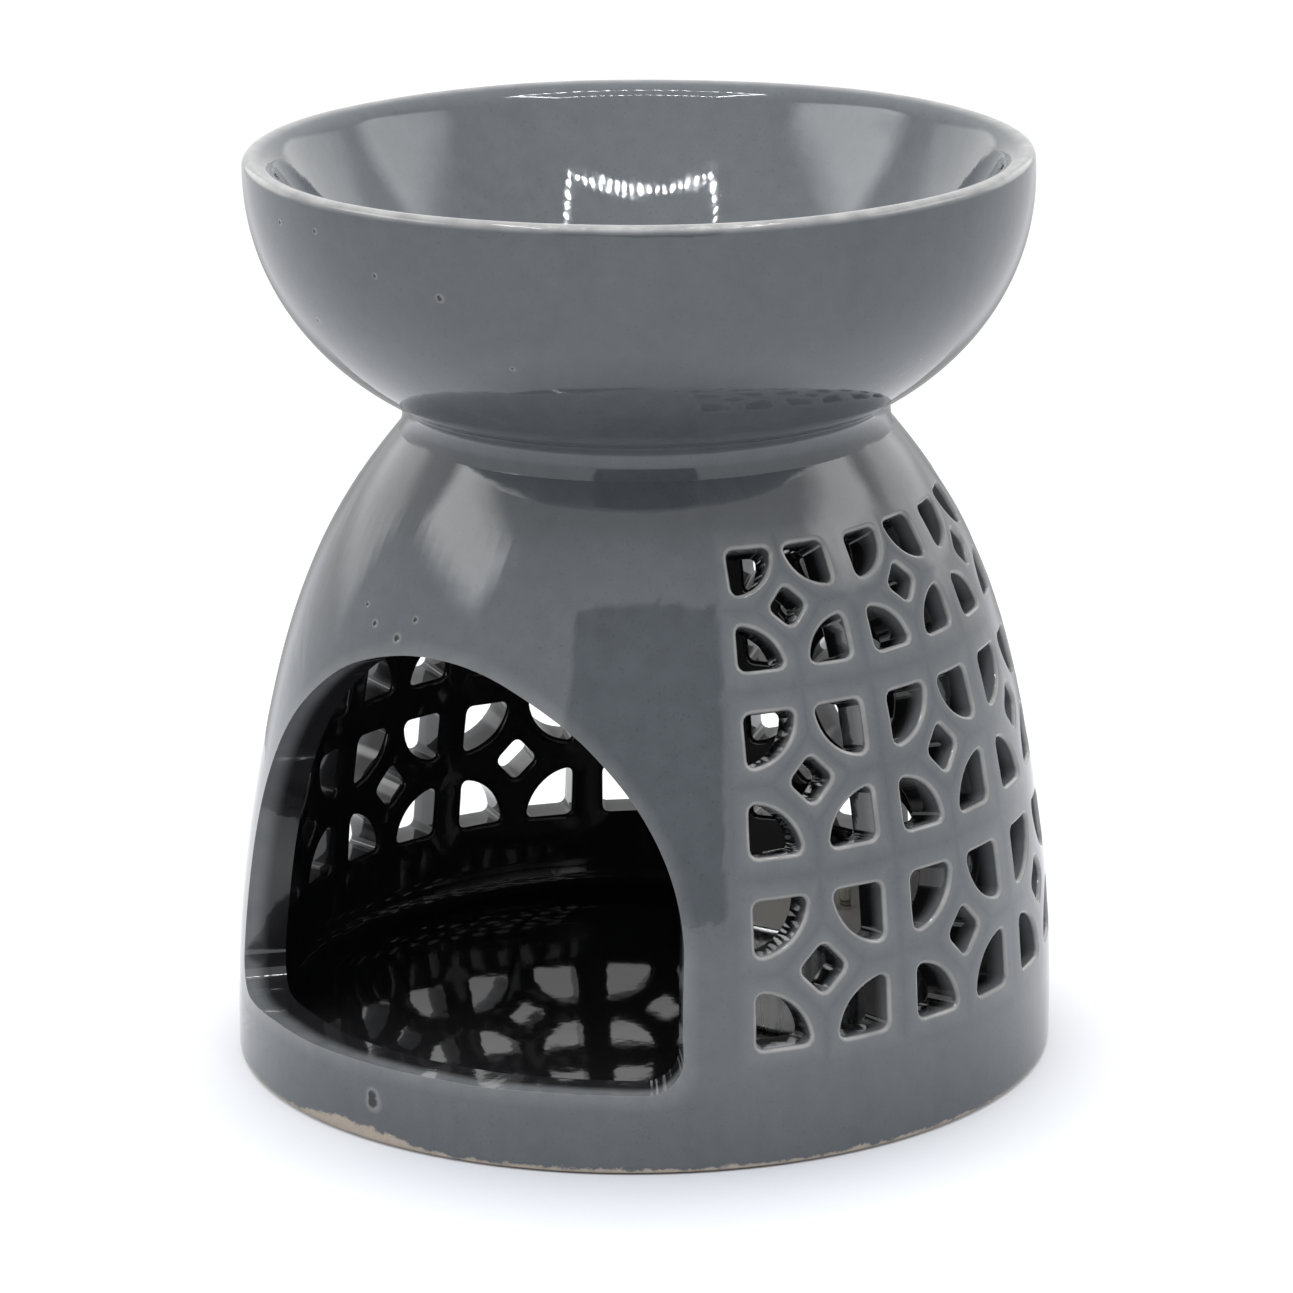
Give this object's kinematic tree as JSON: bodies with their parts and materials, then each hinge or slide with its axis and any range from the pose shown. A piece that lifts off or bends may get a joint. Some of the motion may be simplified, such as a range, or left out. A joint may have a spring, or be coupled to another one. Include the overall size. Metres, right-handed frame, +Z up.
{
  "type": "essential oil burner",
  "caption": "Domed ceramic oil burner with a pierced trellis wall, an arched doorway for a tea light and a shallow oil bowl fixed on its crown.",
  "frame": {"origin": "middle of the foot, on the surface that the burner stands on", "axes": "+Z up, -Y out of the doorway"},
  "size_m": [0.1084, 0.1084, 0.12],
  "materials": {
    "grey_glaze": "glossy",
    "cup_aluminium": "satin",
    "white_wax": "waxy",
    "cotton_wick": "matte",
    "tinned_tab": "satin"
  },
  "bodies": {
    "burner": {"base_slab": "grey_glaze", "pierced_body": "grey_glaze", "oil_bowl": "grey_glaze", "luting_seam": "grey_glaze"},
    "tealight": {"tealight_cup": "cup_aluminium", "tealight_wax": "white_wax", "tealight_wick": "cotton_wick", "tealight_wick_tab": "tinned_tab"}
  },
  "joints": [
    {"name": "tealight_slide", "type": "slide", "parent": "burner", "child": "tealight", "axis": [-0.2717, -0.9477, 0.1676], "range_m": [0, 0.101]}
  ]
}
